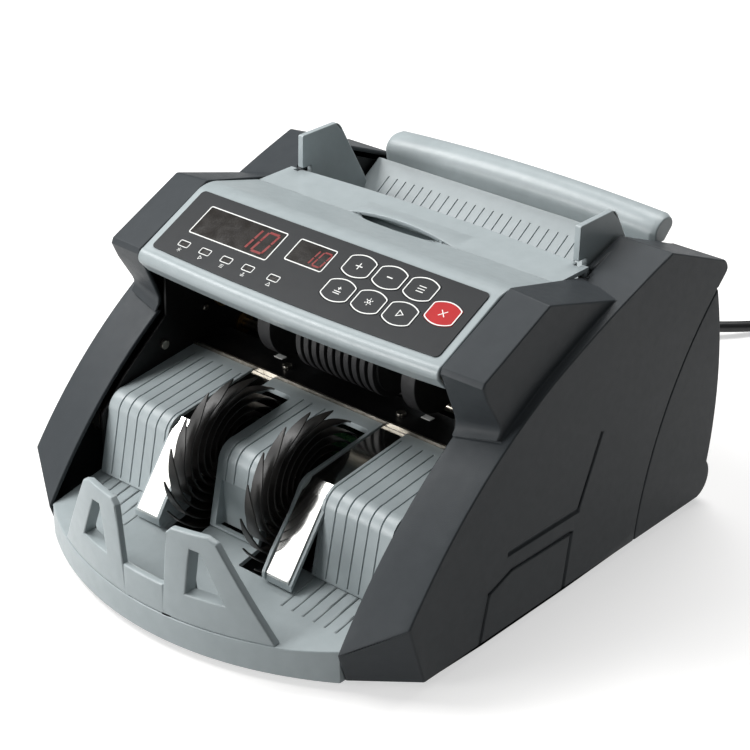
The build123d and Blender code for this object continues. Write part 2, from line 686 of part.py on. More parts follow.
def hopper_bar():
    """Rounded bar along the back of the hopper, highest in the middle."""
    face = outline(
        Line((131.8, 141.4), (131.8, 139.6)), Line((131.8, 139.6), (141.6, 139.6)),
        Line((141.6, 139.6), (149.9, 149.2)),
        ThreePointArc((149.9, 149.2), (148.6, 155.6), (142.8, 158.6)),
        ThreePointArc((142.8, 158.6), (133.4, 154.6), (131.0, 146.0)),
        Line((131.0, 146.0), (131.8, 141.4)),
    )
    bow_r = 93.0 ** 2 / (2 * 3.2)
    bow = Pos(0, 100, 158.6 - bow_r) * Rot(-90, 0, 0) * extrude(Circle(bow_r), amount=60)
    return along_x(face, -93.0, 93.0) & bow


def guide(sign):
    """Hopper guide: a flat cheek with a foot through the hopper plate's slot."""
    low, high = sorted((sign * GUIDE_X[0], sign * GUIDE_X[1]))
    lift = 0.7
    face = outline(
        Line((62.8, 156.2), (63.4, HEIGHT)),
        Line((63.4, HEIGHT), (88.0, HEIGHT)),
        ThreePointArc((88.0, HEIGHT), (92.6, 173.8), (95.4, 170.4)),
        Line((95.4, 170.4), (115.6, 134.0)),
        Line((115.6, 134.0), (113.6, hopper_z(113.6) + lift)),
        Line((113.6, hopper_z(113.6) + lift), (72.0, hopper_z(72.0) + lift)),
        Line((72.0, hopper_z(72.0) + lift), (70.0, 112.0)),
        Line((70.0, 112.0), (70.0, 156.2)), Line((70.0, 156.2), (62.8, 156.2)),
    )
    cheek_plate = along_x(face, low, high)
    foot_z = hopper_z(93) - 7.5
    stem = block((low, high), (98.4, 103.6), (foot_z, hopper_z(101) + 4))
    foot = block((low, high), (93.0, 109.0), (foot_z, foot_z + 3.2))
    return cheek_plate + stem + foot


def feed_cover():
    """Cover over the feed rollers, with an arched finger lip and hinge ears at its rear corners."""
    half = INNER_X - 0.3
    plan = make_face(Curve() + [
        Line((-93.5, 60.8), (-93.5, 64.0)), Line((-93.5, 64.0), (-86, 64.6)),
        ThreePointArc((-86, 64.6), (0, 68.0), (86, 64.6)),
        Line((86, 64.6), (93.5, 64.0)), Line((93.5, 64.0), (93.5, 60.8)),
        Line((93.5, 60.8), (96.6, 60.8)), Line((96.6, 60.8), (96.6, 63.8)),
        Line((96.6, 63.8), (half, 63.8)), Line((half, 63.8), (half, 37.7)),
        Line((half, 37.7), (-half, 37.7)),
        Line((-half, 37.7), (-half, 63.8)), Line((-half, 63.8), (-96.6, 63.8)),
        Line((-96.6, 63.8), (-96.6, 60.8)), Line((-96.6, 60.8), (-93.5, 60.8)),
    ])
    lid = extrude(Pos(0, 0, 152.6) * plan, amount=2.5)
    rise, span = 4.4, 36.0
    bow_r = (span * span + rise * rise) / (2 * rise)
    dome = Pos(0, 0, 155.1 + rise - bow_r) * Rot(-90, 0, 0) * extrude(Circle(bow_r), amount=100)
    lip = polygon((37.7, 155.0), (37.7, 159.6), (39.5, 159.6), (55, 155.1), (55, 155.0))
    wedge = along_x(lip, -span, span)
    under_r = bow_r
    under = Pos(0, 0, 153.0 + rise - under_r) * Rot(-90, 0, 0) * extrude(Circle(under_r), amount=44)
    lid = lid + (wedge & dome)
    lid -= under & block((-30, 30), (30, 44), (150, 162))
    ears = block((97.0, half), (60.6, 63.8), (147.9, 153.0))
    return keep_largest(lid + both_sides(ears) - rod(1.05, -120, 120, COVER_AXIS))


# ---- drive, electrics and back panel ------------------------------------------------------------
def transformer():
    core = block((-70, -20), (66, 106), (5.5, 44))
    coil = block((-64, -26), (60, 112), (12, 38))
    return core + coil


def control_board():
    board = block((-62, 62), (14, 60), (9.5, 11.1))
    parts = ((-40, 30, 22, 16, 10), (0, 40, 14, 14, 3), (30, 30, 18, 10, 14), (46, 48, 12, 12, 16))
    for x, y, w, d, h in parts:
        board += block((x - w / 2, x + w / 2), (y - d / 2, y + d / 2), (11.0, 11.1 + h))
    posts = [Pos(x, y, 5.5) * extrude(Circle(3), amount=4.1) for x in (-57, 57) for y in (19, 55)]
    return Part() + [board, *posts]


def uv_lamp():
    """Ultraviolet tube in its holder, under the path plate's windows."""
    ends = block((-62, -55), (-4, 7), (62, 75)) + block((55, 62), (-4, 7), (62, 75))
    return rod(3.0, -55, 55, (1.5, 70.0)) + ends + block((-62, 62), (-1, 4), (61, 63))


SWITCH_X = INLET_X + 36.0
MODULE_X = (INLET_X - 17.0, SWITCH_X + 13.0)


def inlet_hole():
    return block((MODULE_X[0] + 2.6, MODULE_X[1] - 2.6), (120, 150), (INLET_Z - 10.6, INLET_Z + 10.6))


def contact_pins(grow, low, high):
    """The inlet's three flat pins, or the room for them."""
    pins = []
    for x, z in ((-7, -1.5), (7, -1.5), (0, 2.5)):
        wide = (INLET_X + x - 1 - grow, INLET_X + x + 1 + grow)
        tall = (INLET_Z + z - 2 - grow, INLET_Z + z + 2 + grow)
        pins.append(block(wide, (low, high), tall))
    return pins


def power_inlet():
    """Inlet module in the back wall: appliance inlet, fuse drawer and switch frame."""
    shell = block((MODULE_X[0] + 2.8, MODULE_X[1] - 2.8), (121, 142.8), (INLET_Z - 10.4, INLET_Z + 10.4))
    shell += block(MODULE_X, (142.8, 144.6), (INLET_Z - 13.0, INLET_Z + 13.0))
    shell -= block((INLET_X - 11.4, INLET_X + 11.4), (126, 150), (INLET_Z - 7.9, INLET_Z + 7.9))
    shell -= block((SWITCH_X - 5.6, SWITCH_X + 5.6), (127, 150), (INLET_Z - 9.4, INLET_Z + 9.4))
    drawer = block((INLET_X + 15.0, INLET_X + 25.5), (142.8, 145.6), (INLET_Z - 8.0, INLET_Z + 8.0))
    drawer -= block((INLET_X + 18.0, INLET_X + 22.5), (145.0, 147), (INLET_Z - 1.0, INLET_Z + 1.0))
    return Part() + [shell, drawer, *contact_pins(0.0, 125, 140)]


def cord_connector():
    """Appliance connector on the machine's end of the lead, with its strain relief."""
    body = block((INLET_X - 11.1, INLET_X + 11.1), (126.4, 146), (INLET_Z - 7.6, INLET_Z + 7.6))
    body += block((INLET_X - 12.5, INLET_X + 12.5), (144.9, 168), (INLET_Z - 9, INLET_Z + 9))
    for room in contact_pins(0.3, 120, 141):
        body -= room
    back = Plane(origin=(INLET_X, 168, INLET_Z), x_dir=(1, 0, 0), z_dir=(0, 1, 0))
    relief = loft([back * Circle(7.5), back.offset(24) * Circle(4.6)])
    return body + relief


def switch_rocker():
    """Rocker that tips about a pivot along X."""
    face = outline(
        Line((136.0, INLET_Z - 8.2), (144.9, INLET_Z - 8.2)),
        Line((144.9, INLET_Z - 8.2), (142.9, INLET_Z)), Line((142.9, INLET_Z), (144.9, INLET_Z + 8.2)),
        Line((144.9, INLET_Z + 8.2), (136.0, INLET_Z + 8.2)),
        ThreePointArc((136.0, INLET_Z + 8.2), (131.0, INLET_Z), (136.0, INLET_Z - 8.2)),
    )
    return along_x(face, SWITCH_X - 5.2, SWITCH_X + 5.2)


KNOB = (60.0, 112.0)          # gap-adjusting knob on the back (x, z)


def knob_hole():
    return Pos(KNOB[0], 130, KNOB[1]) * Rot(-90, 0, 0) * extrude(Circle(4.05), amount=20)


def gap_knob():
    """Knurled knob on a spindle through the back wall."""
    spindle = Pos(KNOB[0], 122, KNOB[1]) * Rot(-90, 0, 0) * extrude(Circle(4.0), amount=22)
    disc = Circle(9.0)
    for n in range(18):
        disc -= Rot(0, 0, 20 * n) * Pos(9.2, 0) * Circle(0.8)
    head = Pos(KNOB[0], 143.4, KNOB[1]) * Rot(-90, 0, 0) * extrude(disc, amount=6.0)
    return spindle + head


# ---- mains lead ---------------------------------------------------------------------------------
ROUTE = [
    (INLET_X, 192.0, INLET_Z), (INLET_X, 214.0, INLET_Z), (-43.0, 238.0, 24.0), (-29.0, 261.0, 13.5),
    (-9.0, 281.0, 9.0), (12.5, 299.0, 8.0), (31.5, 320.0, 6.0), (46.5, 342.0, 4.0),
    (56.0, 364.0, 3.6),
]


def bend_radii(points):
    """Radius of the arc at each inner point: as large as its two runs allow."""
    radii = []
    for before, here, after in zip(points, points[1:], points[2:]):
        a, b = Vector(*here) - Vector(*before), Vector(*after) - Vector(*here)
        turn = radians(a.get_angle(b))
        radii.append(0.45 * min(a.length, b.length) / tan(turn / 2))
    return radii


TAIL = [(100.0, 406.0, 10.5), (134.0, 406.0, 9.8), (157.0, 383.0, 9.0), (157.0, 350.0, 9.0)]


def cord_tube(points):
    """Round tube along straight runs joined by arcs."""
    radii = bend_radii(points)
    path = FilletPolyline(*points, radius=radii)
    section = Plane(origin=path @ 0, z_dir=path % 0) * Circle(CORD_D / 2)
    tube = sweep(section, path=path)
    print("cord radii", [round(r) for r in radii], "length", round(path.length, 1),
          "volume ratio", round(tube.volume / (pi * CORD_D ** 2 / 4 * path.length), 4))
    return tube


def cord_coil():
    """Outer shape of the neat coil that holds the spare lead, and the lead's end to the plug."""
    outer, inner = COIL_RADII[0] + CORD_D / 2, COIL_RADII[-1] - CORD_D / 2
    ring_face = Circle(outer) - Circle(inner)
    return Pos(*COIL_CENTRE, 0) * extrude(ring_face, amount=2 * CORD_D) + cord_tube(TAIL)


def mains_plug():
    """Two-pin plug lying beside the coil."""
    x, y, z = TAIL[-1]
    spine = Plane(origin=(x, y, z), x_dir=(1, 0, 0), z_dir=(0, -1, 0))
    body = loft([spine * Ellipse(8.0, 7.0), spine.offset(30) * Ellipse(17.0, 9.0)])
    body += extrude(spine.offset(30) * Ellipse(17.0, 9.0), amount=4)
    for side in (-9.5, 9.5):
        body += extrude(spine.offset(33) * (Pos(side, 0) * Circle(2.4)), amount=20)
    return body


# ---- write --------------------------------------------------------------------------------------
def build():
    right = right_side_cover()
    main_can, main_rotor = motor(MAIN_MOTOR, 21.0, 44.0, FRAME_X, 114.0, 8.0)
    stack_can, stack_rotor = motor(STACKER_MOTOR, 15.0, -FRAME_X, -62.0, -114.0, 7.0)
    parts = {
        "right_side_cover": right,
        "left_side_cover": mirror(right, about=Plane.YZ),
        "rear_cover": rear_cover(),
        "base_plate": base_plate(),
        "rubber_feet": rubber_feet(),
        "front_base": front_base(),
        "stacker_tray": stacker_tray(),
        "slide_plates": slide_plates(),
        "note_stop": note_stop(),
        "side_frame_left": side_frame(-1),
        "side_frame_right": side_frame(1),
        "bearings": bearings(),
        "path_plate": path_plate(),
        "sensor_windows": sensor_windows(),
        "path_edge": path_edge(),
        "tie_rods": tie_rods(),
        "screws_and_pins": screws_and_pins(),
        "stacker_shaft": shaft("stacker", -114, 101.6, pulley("stacker", 12.0, -114, -105)),
        "stacker_wheel_left": stacker_wheel(-WHEEL_X),
        "stacker_wheel_right": stacker_wheel(WHEEL_X),
        "feed_shaft": shaft("feed", -114, 114, pulley("feed", 14.0, 105, 114),
                            pulley("feed", 10.0, -114, -105)),
        "feed_roller": feed_roller(),
        "feed_side_rollers": side_rollers("feed", FEED_R, (-49.5, 49.5), 9),
        "pickup_shaft": shaft("pickup", -114, 101.6, pulley("pickup", 10.0, -114, -105)),
        "pickup_rollers": side_rollers("pickup", 14.0, PICKUP_X, PICKUP_W),
        "pinch_shaft": shaft("pinch", -101.6, 101.6),
        "pinch_rollers": side_rollers("pinch", 7.6, (-20, 20), 14),
        "main_motor": main_can,
        "main_motor_rotor": main_rotor,
        "drive_belts": group(belt(106.2, 112.8, MAIN_MOTOR, 8.0, FEED, 14.0),
                             belt(-112.8, -106.2, STACKER_MOTOR, 7.0, STACKER, 12.0),
                             belt(-112.8, -106.2, PICKUP, 10.0, FEED, 10.0)),
        "stacker_motor": stack_can,
        "stacker_motor_rotor": stack_rotor,
        "console_panel": console_panel(),
        "keypad_overlay": keypad_overlay(),
        "display_lenses": display_lenses(),
        "indicator_lamps": indicator_lamps(),
        "display_board": display_board(),
        "hopper_plate": hopper_plate(),
        "hopper_front_wall": hopper_front_wall(),
        "hopper_bar": hopper_bar(),
        "hopper_guide_left": guide(-1),
        "hopper_guide_right": guide(1),
        "feed_cover": feed_cover(),
    }
    extras = {
        "transformer": transformer(),
        "control_board": control_board(),
        "uv_lamp": uv_lamp(),
        "power_inlet": power_inlet(),
        "power_switch": switch_rocker(),
        "gap_knob": gap_knob(),
        "cord_connector": cord_connector(),
        "power_cord": cord_tube(ROUTE),
        "cord_coil": cord_coil(),
        "mains_plug": mains_plug(),
    }
    keys = {name: key(*place) for name, place in KEYS.items()}
    return {**parts, **extras, **keys}


os.makedirs("parts", exist_ok=True)
made = build()
print(len(made), "nodes")
for node, shape in made.items():
    export_step(shape, f"parts/{node}.step")
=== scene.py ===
import json
from math import atan2, cos, hypot, pi, radians, sin

import bmesh
import bpy
from mathutils import Matrix, Vector


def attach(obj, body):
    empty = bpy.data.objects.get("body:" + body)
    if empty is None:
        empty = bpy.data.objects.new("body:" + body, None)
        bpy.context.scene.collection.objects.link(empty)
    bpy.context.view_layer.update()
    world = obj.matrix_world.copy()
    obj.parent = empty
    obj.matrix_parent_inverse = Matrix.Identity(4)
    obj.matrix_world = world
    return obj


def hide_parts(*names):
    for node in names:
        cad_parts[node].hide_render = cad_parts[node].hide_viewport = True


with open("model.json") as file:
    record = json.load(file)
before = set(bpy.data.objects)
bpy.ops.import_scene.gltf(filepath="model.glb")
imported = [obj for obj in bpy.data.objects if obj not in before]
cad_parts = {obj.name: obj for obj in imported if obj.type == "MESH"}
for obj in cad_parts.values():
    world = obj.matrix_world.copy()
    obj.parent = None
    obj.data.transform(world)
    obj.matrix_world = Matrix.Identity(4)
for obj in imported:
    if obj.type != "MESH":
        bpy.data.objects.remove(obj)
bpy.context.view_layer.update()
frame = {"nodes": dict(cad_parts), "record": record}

MM = 0.001

# ---- driving values, in millimetres and degrees ---------------------------------------------------
CAMERA_PLACE, CAMERA_PITCH, CAMERA_YAW, CAMERA_LENS = (645.9, -710.7, 582.3), 27.36, 41.52, 100.82

CORD_D, CORD_LENGTH = 7.0, 1500.0
ROUTE = [
    (-48.0, 192.0, 34.0), (-48.0, 214.0, 34.0), (-43.0, 238.0, 24.0), (-29.0, 261.0, 13.5),
    (-9.0, 281.0, 9.0), (12.5, 299.0, 8.0), (31.5, 320.0, 6.0), (46.5, 342.0, 4.0),
]
COIL_CENTRE, COIL_TURNS = (100.0, 362.0), 5.25
COIL_RADII = (44.0, 37.0, 30.0, 30.0, 37.0, 44.0)
COIL_STEP = 16                                   # points in a turn
TAIL = [(134.0, 406.0, 9.8), (157.0, 383.0, 9.0), (157.0, 350.0, 9.0)]

TILT, CONSOLE_FOOT = 26.0, (-46.2, 144.5)        # console face: slope, and lower edge (y, z)
CONSOLE_BOW = 2.8                                # how far the nose stands forward in mid-width
COUNT_WINDOW = (-82.5, -28.8, 16.7, 35.4)        # x low, x high, slope low, slope high
BATCH_WINDOW = (-19.2, 4.7, 21.6, 35.6)
WINDOW_LINE = 0.3                                # from a window's edge to the middle of its outline
LAMP_X, LAMP_ROW = (-79.0, -63.8, -48.6, -33.4, -15.8), 8.5
LAMP_HALF = (3.4, 1.85)                          # half width and half height of a lamp's outline
LAMP_SYMBOL = (4.3, 1.15)                        # how far below its lamp a symbol sits, and its size
KEYS = {
    "key_plus": (22.0, 32.2), "key_minus": (41.8, 32.2), "key_batch": (61.6, 32.2),
    "key_add": (22.0, 15.2), "key_lamp": (41.8, 15.2), "key_start": (61.6, 15.2),
    "key_clear": (81.6, 23.7),
}
KEY_HALF, KEY_SIDE, KEY_BULGE = 8.8, 4.65, 2.8
INK_WIDTH, INK_HEIGHT, SUNK = 0.62, 0.05, 0.03   # print: line, height, and how far it goes into its face
FINE_LINE, SYMBOL_LINE, SIGN_LINE = 0.28, 0.45, 0.6
DIGIT_HALF, DIGIT_LINE, DIGIT_LEAN = 0.27, 0.105, 0.14  # half width, line and slant, as parts of its height
DIGIT_GAP, DIGIT_RISE = 0.35, 0.04
OVERLAY_TOP, KEY_TOP, LENS_TOP = 0.6, 0.75, 0.55  # heights over the console face

STACKER = (-66.0, 54.0)                          # stacker shaft axis (y, z)
WHEEL_X, WHEEL_HALF, WHEEL_R, HUB_R = 26.4, 6.5, 44.3, 13.0
VANES, VANE_T, VANE_WRAP, VANE_PHASE = 16, 1.1, 150.0, 82.0
TIP_LENGTH = 16.0                                # stretch of a vane that narrows to its point
SHOULDER_REACH, SHOULDER_RUN = 20.0, 22.0        # its left edge is in by this far from the tip, over this run
STUB_X, STUB_LEAN = 1.1, 1.2                     # where the blade's left edge ends, and how far it leans
POINT_X, POINT_CURVE = 1.7, 1.35                 # where its right edge ends, and how sharply that curves


# ---- camera, light and floor ------------------------------------------------------------------------
LIGHTS = {                                       # place, target and size in metres, and power in watts
    "key": ((-1.15, -0.5, 1.5), (0, 0, 0.08), (0.8, 0.8), 27.0),
    "front": ((-0.75, -1.5, 0.36), (0, 0, 0.08), (0.6, 0.6), 17.0),
    "card": ((-0.92, -1.04, 0.81), (0, -0.09, 0.06), (0.6, 0.6), 2.4),
    "back": ((-0.25, 0.75, 1.65), (0, 0, 0.1), (1.0, 0.8), 19.0),
}
WORLD_STRENGTH, FLOOR_HALF = 0.16, 8.0


def add_object(name, data):
    made = bpy.data.objects.new(name, data)
    bpy.context.scene.collection.objects.link(made)
    return made


def add_camera():
    data = bpy.data.cameras.new("camera")
    data.lens, data.sensor_width, data.clip_start, data.clip_end = CAMERA_LENS, 36.0, 0.05, 20.0
    camera = add_object("camera", data)
    camera.location = Vector(CAMERA_PLACE) * MM
    camera.rotation_euler = (radians(90 - CAMERA_PITCH), 0, radians(CAMERA_YAW))
    bpy.context.scene.camera = camera


def add_light(name, place, target, size, power):
    data = bpy.data.lights.new(name, "AREA")
    data.shape, data.size, data.size_y = "RECTANGLE", size[0], size[1]
    data.energy = power
    lamp = add_object(name, data)
    lamp.location = place
    lamp.rotation_euler = (Vector(target) - Vector(place)).to_track_quat("-Z", "Y").to_euler()


def add_lights():
    """Three softboxes, and a weak card light that the polished slide plates mirror."""
    for name, setting in LIGHTS.items():
        add_light(name, *setting)
    world = bpy.data.worlds.new("studio")
    world.use_nodes = True
    background = world.node_tree.nodes["Background"]
    background.inputs["Color"].default_value = (0.95, 0.98, 1, 1)
    background.inputs["Strength"].default_value = WORLD_STRENGTH
    bpy.context.scene.world = world
    bpy.context.scene.view_settings.view_transform = "Standard"


def add_floor():
    mesh = bpy.data.meshes.new("floor")
    corners = [(x * FLOOR_HALF, y * FLOOR_HALF, 0) for x, y in ((-1, -1), (1, -1), (1, 1), (-1, 1))]
    mesh.from_pydata(corners, [], [(0, 1, 2, 3)])
    floor = add_object("floor", mesh)
    floor.data.materials.append(floor_material())
    floor.visible_diffuse = False


# ---- materials ------------------------------------------------------------------------------------
def linear(red, green, blue):
    """Linear colour from 0-255 display values."""
    def one(value):
        value /= 255
        return value / 12.92 if value <= 0.04045 else ((value + 0.055) / 1.055) ** 2.4
    return (one(red), one(green), one(blue), 1.0)


class Surface:
    """A Principled material with helpers for its procedural layers."""

    def __init__(self, name, **sockets):
        self.made = bpy.data.materials.new(name)
        self.made.use_nodes = True
        self.tree = self.made.node_tree
        self.shader = self.tree.nodes["Principled BSDF"]
        for socket, value in sockets.items():
            self.shader.inputs[socket.replace("_", " ")].default_value = value
        self.place = self.tree.nodes.new("ShaderNodeTexCoord").outputs["Object"]

    def node(self, kind, **inputs):
        made = self.tree.nodes.new("ShaderNode" + kind)
        for name, value in inputs.items():
            socket = made.inputs[name.replace("_", " ")]
            if isinstance(value, bpy.types.NodeSocket):
                self.tree.links.new(value, socket)
            else:
                socket.default_value = value
        return made

    def stretched(self, scale):
        mapping = self.node("Mapping", Vector=self.place)
        mapping.inputs["Scale"].default_value = scale
        return mapping.outputs["Vector"]

    def noise(self, scale, detail=3.0, place=None):
        made = self.node("TexNoise", Vector=place or self.place, Scale=scale, Detail=detail)
        return made.outputs["Fac"]

    def colour(self, factor, low, high):
        """Base colour that runs between two (position, colour) stops."""
        made = self.node("ValToRGB", Fac=factor)
        for element, stop in zip(made.color_ramp.elements, (low, high)):
            element.position, element.color = stop
        self.tree.links.new(made.outputs["Color"], self.shader.inputs["Base Color"])

    def rough(self, factor, low, high):
        made = self.node("MapRange", Value=factor, From_Min=0.3, From_Max=0.7, To_Min=low, To_Max=high)
        self.tree.links.new(made.outputs["Result"], self.shader.inputs["Roughness"])

    def bump(self, height, strength, distance):
        made = self.node("Bump", Height=height, Strength=strength, Distance=distance)
        self.tree.links.new(made.outputs["Normal"], self.shader.inputs["Normal"])


def moulded(name, dark, light, rough, grain, strength, specular=0.5, streak=140.0):
    """Moulded plastic: faint mottling, fine surface texture and uneven gloss."""
    surface = Surface(name, Specular_IOR_Level=specular)
    broad = surface.noise(streak, 4.0)
    surface.colour(broad, (0.3, dark), (0.7, light))
    surface.rough(surface.noise(260.0, 5.0), *rough)
    surface.bump(surface.noise(grain, 2.0), strength, 0.00012)
    return surface.made


def charcoal(name):
    """Dull dark plastic of all the outer covers."""
    return moulded(name, linear(57, 61, 64), linear(60, 64, 67), (0.42, 0.49), 2300.0, 0.5, specular=0.18)


def housing_plastic():
    return charcoal("housing")


def rear_plastic():
    return charcoal("rear_housing")


# Painted shade: the same plastic as light_plastic, made a little darker to stand in for the console's shadow
# on the stacker tray.
def grey_plastic():
    dark, light = linear(155, 164, 166), linear(161, 170, 172)
    return moulded("grey_plastic", dark, light, (0.32, 0.4), 2600.0, 0.12, specular=0.42)


def light_plastic():
    return moulded("light_plastic", linear(162, 171, 173), linear(168, 177, 179), (0.32, 0.4), 2600.0, 0.12)


def black_sheet():
    dark, light = linear(13, 13, 14), linear(17, 17, 18)
    return moulded("hopper_black", dark, light, (0.4, 0.5), 1800.0, 0.2, specular=0.3)


def overlay_film():
    dark, light = linear(34, 36, 38), linear(37, 39, 41)
    return moulded("overlay", dark, light, (0.4, 0.47), 3200.0, 0.18, specular=0.25)


def key_grey():
    dark, light = linear(36, 38, 40), linear(39, 41, 43)
    return moulded("key_grey", dark, light, (0.4, 0.47), 3200.0, 0.18, specular=0.25)


def key_red():
    dark, light = linear(170, 22, 26), linear(178, 26, 30)
    return moulded("key_red", dark, light, (0.4, 0.47), 3200.0, 0.15, specular=0.25)


def display_filter():
    surface = Surface("display_filter", Specular_IOR_Level=0.5, Coat_Weight=0.3, Coat_Roughness=0.08)
    surface.colour(surface.noise(400.0, 3.0), (0.35, linear(30, 26, 23)), (0.65, linear(35, 31, 27)))
    surface.rough(surface.noise(150.0, 3.0), 0.16, 0.24)
    return surface.made


def lamp_lens():
    surface = Surface("lamp_lens", Specular_IOR_Level=0.5, Coat_Weight=0.4)
    surface.colour(surface.noise(900.0, 2.0), (0.35, linear(36, 33, 30)), (0.65, linear(48, 44, 40)))
    surface.rough(surface.noise(200.0, 2.0), 0.15, 0.25)
    return surface.made


def circuit_board():
    surface = Surface("circuit_board", Specular_IOR_Level=0.5)
    tracks = surface.node("TexVoronoi", Vector=surface.place, Scale=220.0)
    tracks.feature = "DISTANCE_TO_EDGE"
    surface.colour(tracks.outputs["Distance"], (0.04, linear(74, 120, 70)), (0.08, linear(26, 84, 48)))
    surface.rough(surface.noise(300.0), 0.25, 0.4)
    return surface.made


def rubber(name, base, rough, grain, strength, specular=0.4):
    surface = Surface(name, Specular_IOR_Level=specular)
    dusty = tuple(min(1.0, channel * 1.7 + 0.004) for channel in base[:3]) + (1.0,)
    surface.colour(surface.noise(160.0, 5.0), (0.35, base), (0.8, dusty))
    surface.rough(surface.noise(120.0, 4.0), *rough)
    surface.bump(surface.noise(grain, 3.0), strength, 0.0001)
    return surface.made


def vane_rubber():
    return rubber("vane_rubber", linear(21, 19, 17), (0.36, 0.48), 900.0, 0.12, specular=0.4)


def roller_rubber():
    return rubber("roller_rubber", linear(34, 34, 35), (0.55, 0.7), 2600.0, 0.5)


def belt_rubber():
    surface = Surface("belt_rubber", Specular_IOR_Level=0.3)
    surface.colour(surface.noise(260.0, 4.0), (0.3, linear(26, 26, 26)), (0.8, linear(44, 43, 42)))
    surface.rough(surface.noise(120.0), 0.55, 0.75)
    surface.bump(surface.noise(2600.0), 0.4, 0.0001)
    return surface.made


def steel(name, dark, light, rough, streaks, strength):
    """Metal with fine working marks, closest together along the axis of the largest streak scale."""
    surface = Surface(name, Metallic=1.0)
    marks = surface.noise(1.0, 4.0, surface.stretched(streaks))
    surface.colour(marks, (0.3, dark), (0.7, light))
    surface.rough(marks, *rough)
    surface.bump(marks, strength, 0.00005)
    return surface.made


def steel_shaft():
    dark, light = linear(140, 134, 124), linear(165, 160, 150)
    return steel("steel_shaft", dark, light, (0.26, 0.36), (300, 40, 40), 0.04)


def polished_steel():
    dark, light = linear(222, 221, 217), linear(232, 231, 228)
    return steel("polished_steel", dark, light, (0.08, 0.12), (20, 150, 150), 0.02)


def base_steel():
    dark, light = linear(120, 122, 124), linear(150, 152, 153)
    return steel("base_steel", dark, light, (0.35, 0.5), (60, 60, 60), 0.1)


def screw_steel():
    dark, light = linear(150, 146, 138), linear(180, 176, 166)
    return steel("screw_steel", dark, light, (0.25, 0.4), (500, 500, 500), 0.2)


def motor_can():
    dark, light = linear(130, 131, 133), linear(160, 160, 160)
    return steel("motor_can", dark, light, (0.3, 0.42), (1500, 60, 60), 0.1)


def bearing_bronze():
    dark, light = linear(150, 116, 62), linear(176, 140, 84)
    return steel("bearing_bronze", dark, light, (0.3, 0.42), (700, 700, 700), 0.15)


def frame_steel():
    dark, light = linear(13, 13, 14), linear(17, 17, 18)
    return moulded("frame_steel", dark, light, (0.4, 0.5), 1500.0, 0.25, specular=0.3)


def white_plastic():
    return moulded("white", linear(226, 227, 224), linear(236, 237, 234), (0.4, 0.5), 2200.0, 0.1)


def transformer_iron():
    dark, light = linear(66, 60, 54), linear(92, 84, 76)
    return moulded("transformer_iron", dark, light, (0.45, 0.6), 900.0, 0.4, streak=300.0)


def lamp_glass():
    surface = Surface("lamp_glass", Coat_Weight=0.6)
    surface.colour(surface.noise(60.0), (0.3, linear(96, 82, 150)), (0.7, linear(120, 104, 176)))
    surface.rough(surface.noise(200.0), 0.08, 0.16)
    return surface.made


def black_plastic():
    return moulded("black_plastic", linear(25, 25, 26), linear(32, 32, 33), (0.38, 0.5), 2400.0, 0.35)


def cord_pvc():
    return moulded("cord_pvc", linear(24, 24, 25), linear(30, 30, 31), (0.36, 0.46), 1500.0, 0.15)


def lit_red():
    """Dim lit segment seen through the dark filter."""
    surface = Surface("lit_red", Emission_Strength=0.05)
    surface.colour(surface.noise(1200.0, 2.0), (0.3, linear(112, 24, 22)), (0.7, linear(128, 28, 27)))
    surface.shader.inputs["Emission Color"].default_value = linear(190, 30, 34)
    surface.rough(surface.noise(300.0), 0.25, 0.35)
    return surface.made


def floor_material():
    surface = Surface("floor", Roughness=0.8, Specular_IOR_Level=0.2, Emission_Strength=0.54)
    surface.shader.inputs["Emission Color"].default_value = (1, 1, 1, 1)
    surface.colour(surface.noise(3.0, 2.0), (0.3, (0.62, 0.61, 0.6, 1)), (0.7, (0.64, 0.63, 0.62, 1)))
    return surface.made


SLOT_MATERIALS = {
    "housing": housing_plastic, "rear_housing": rear_plastic, "grey_plastic": grey_plastic,
    "light_plastic": light_plastic, "hopper_black": black_sheet, "overlay": overlay_film,
    "key_grey": key_grey, "key_red": key_red, "display_filter": display_filter,
    "lamp_lens": lamp_lens, "circuit_board": circuit_board, "vane_rubber": vane_rubber,
    "roller_rubber": roller_rubber, "belt_rubber": belt_rubber, "steel_shaft": steel_shaft,
    "polished_steel": polished_steel, "frame_steel": frame_steel, "base_steel": base_steel,
    "screw_steel": screw_steel, "bearing_bronze": bearing_bronze, "sensor_white": white_plastic,
    "motor_can": motor_can, "transformer_iron": transformer_iron, "lamp_glass": lamp_glass,
    "black_plastic": black_plastic, "cord_pvc": cord_pvc,
}
MATERIALS = {slot: make() for slot, make in SLOT_MATERIALS.items()}
NODE_SLOT = {part["node"]: part["material_slot"] for part in frame["record"]["subparts"]}
NODE_BODY = {node: body for body, nodes in frame["record"]["behaviour"]["bodies"].items() for node in nodes}


def finish_piece(piece, body, slot, replaced=(), material=None):
    """Give a piece its body and its slot's material, and hide the nodes it stands for."""
    piece.data.materials.clear()
    piece.data.materials.append(material or MATERIALS[slot])
    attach(piece, body)
    if replaced:
        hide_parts(*replaced)


def dress_nodes():
    """Give every CAD node its slot's procedural material."""
    for name, node in frame["nodes"].items():
        node.data.materials.clear()
        node.data.materials.append(MATERIALS[NODE_SLOT[name]])


# ---- mesh helpers ---------------------------------------------------------------------------------
def mesh_object(name, work, smooth=True):
    """Object from a bmesh, which is freed."""
    mesh = bpy.data.meshes.new(name)
    bmesh.ops.recalc_face_normals(work, faces=work.faces)
    work.to_mesh(mesh)
    work.free()
    mesh.polygons.foreach_set("use_smooth", [smooth] * len(mesh.polygons))
    return add_object(name, mesh)


